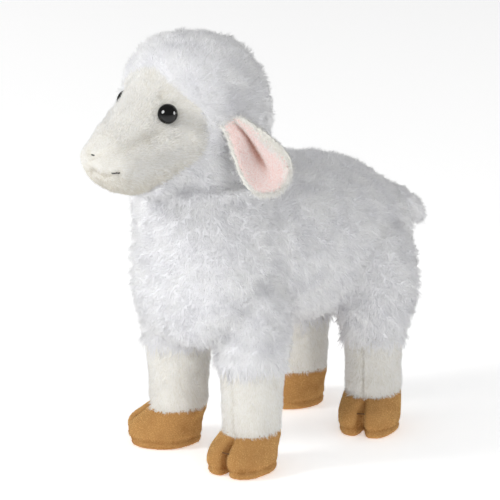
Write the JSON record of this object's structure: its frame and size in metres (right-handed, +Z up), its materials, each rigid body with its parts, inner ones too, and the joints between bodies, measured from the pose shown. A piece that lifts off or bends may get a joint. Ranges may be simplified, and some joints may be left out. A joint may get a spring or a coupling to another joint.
{
  "type": "plush sheep",
  "caption": "Standing stuffed toy sheep with white fleece, a cream short-pile face and legs, tan hooves, pink-lined flapping ears and a sewn-on tail.",
  "frame": {"origin": "middle of the bounding box, on the floor that the soles stand on", "axes": "+X to the sheep's left, -Y the way it faces, +Z up"},
  "size_m": [0.1907, 0.3392, 0.3256],
  "materials": {
    "fleece": "curly white long-pile fleece",
    "short_pile": "cream short-pile plush",
    "hoof_velour": "tan velour",
    "ear_lining": "pale pink velour",
    "filling": "loose polyester fibre",
    "eye_plastic": "polished black",
    "washer_plastic": "natural, moulded",
    "dark_thread": "dark grey embroidery thread",
    "tan_thread": "brown sewing thread"
  },
  "bodies": {
    "trunk": {"torso_cover": "fleece", "neck_cover": "fleece", "front_left_upper_cover": "fleece", "front_right_upper_cover": "fleece", "rear_left_upper_cover": "fleece", "rear_right_upper_cover": "fleece", "front_left_leg_sleeve": "short_pile", "front_right_leg_sleeve": "short_pile", "rear_left_leg_sleeve": "short_pile", "rear_right_leg_sleeve": "short_pile", "front_left_hoof_upper": "hoof_velour", "front_right_hoof_upper": "hoof_velour", "rear_left_hoof_upper": "hoof_velour", "rear_right_hoof_upper": "hoof_velour", "front_left_hoof_sole": "hoof_velour", "front_right_hoof_sole": "hoof_velour", "rear_left_hoof_sole": "hoof_velour", "rear_right_hoof_sole": "hoof_velour", "body_filling": "filling", "front_left_leg_filling": "filling", "front_right_leg_filling": "filling", "rear_left_leg_filling": "filling", "rear_right_leg_filling": "filling", "front_left_cleft_stitch": "tan_thread", "front_right_cleft_stitch": "tan_thread", "rear_left_cleft_stitch": "tan_thread", "rear_right_cleft_stitch": "tan_thread"},
    "head": {"hood_cover": "fleece", "face_cover": "short_pile", "head_filling": "filling", "left_eye": "eye_plastic", "right_eye": "eye_plastic", "left_eye_washer": "washer_plastic", "right_eye_washer": "washer_plastic", "nose_stitch": "dark_thread", "left_mouth_stitch": "dark_thread", "right_mouth_stitch": "dark_thread"},
    "left_ear": {"left_ear_back": "short_pile", "left_ear_lining": "ear_lining"},
    "right_ear": {"right_ear_back": "short_pile", "right_ear_lining": "ear_lining"},
    "tail": {"tail": "fleece"}
  },
  "joints": [
    {"name": "head_turn", "type": "hinge", "parent": "trunk", "child": "head", "pos_m": [0, -0.06222, 0.217], "axis": [0, 0, 1], "range_deg": [-15, 15], "stiffness_Nm_per_rad": 0.4},
    {"name": "left_ear_flap", "type": "hinge", "parent": "head", "child": "left_ear", "pos_m": [0.05449, -0.07716, 0.27], "axis": [-0.1923, -0.9813, 0], "range_deg": [-8, 60], "stiffness_Nm_per_rad": 0.03},
    {"name": "right_ear_flap", "type": "hinge", "parent": "head", "child": "right_ear", "pos_m": [-0.05449, -0.07716, 0.27], "axis": [-0.1923, 0.9813, 0], "range_deg": [-8, 60], "stiffness_Nm_per_rad": 0.03},
    {"name": "tail_lift", "type": "hinge", "parent": "trunk", "child": "tail", "pos_m": [0, 0.13622, 0.16474], "axis": [1, 0, 0], "range_deg": [-15, 50], "stiffness_Nm_per_rad": 0.03}
  ]
}
